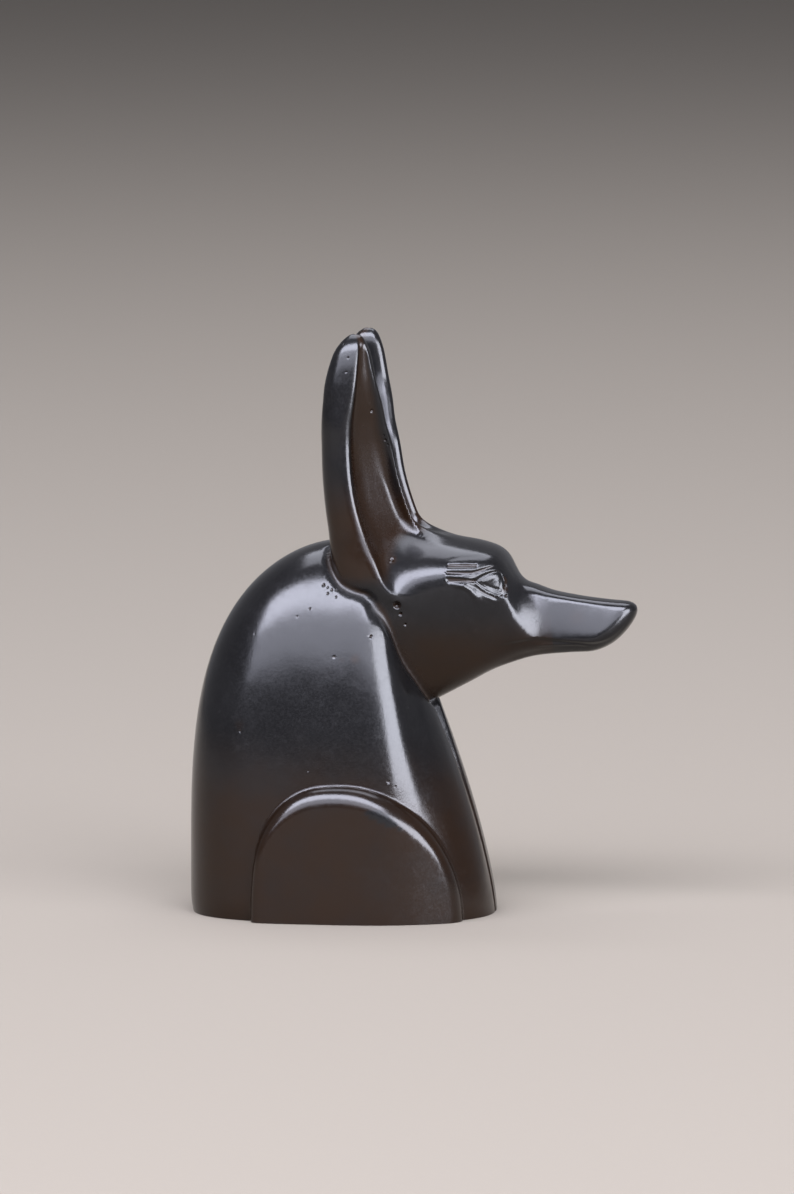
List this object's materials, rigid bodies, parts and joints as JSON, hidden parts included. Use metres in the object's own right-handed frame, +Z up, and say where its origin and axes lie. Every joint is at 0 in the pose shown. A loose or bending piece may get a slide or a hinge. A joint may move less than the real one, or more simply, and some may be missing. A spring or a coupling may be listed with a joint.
{
  "type": "anubis statue",
  "caption": "Small bust of the jackal god in polished black stone, with upright ears, long muzzle and bell-shaped wig.",
  "frame": {"origin": "middle of the flat underside, where the bust rests on the table", "axes": "+Z up, +X the way the muzzle points, +Y to the bust's left side"},
  "size_m": [0.084, 0.0442, 0.1089],
  "materials": {
    "black_stone": "polished near-black stone with brown wax left in the recesses"
  },
  "bodies": {
    "root": {"jackal_bust": "black_stone"}
  },
  "joints": []
}
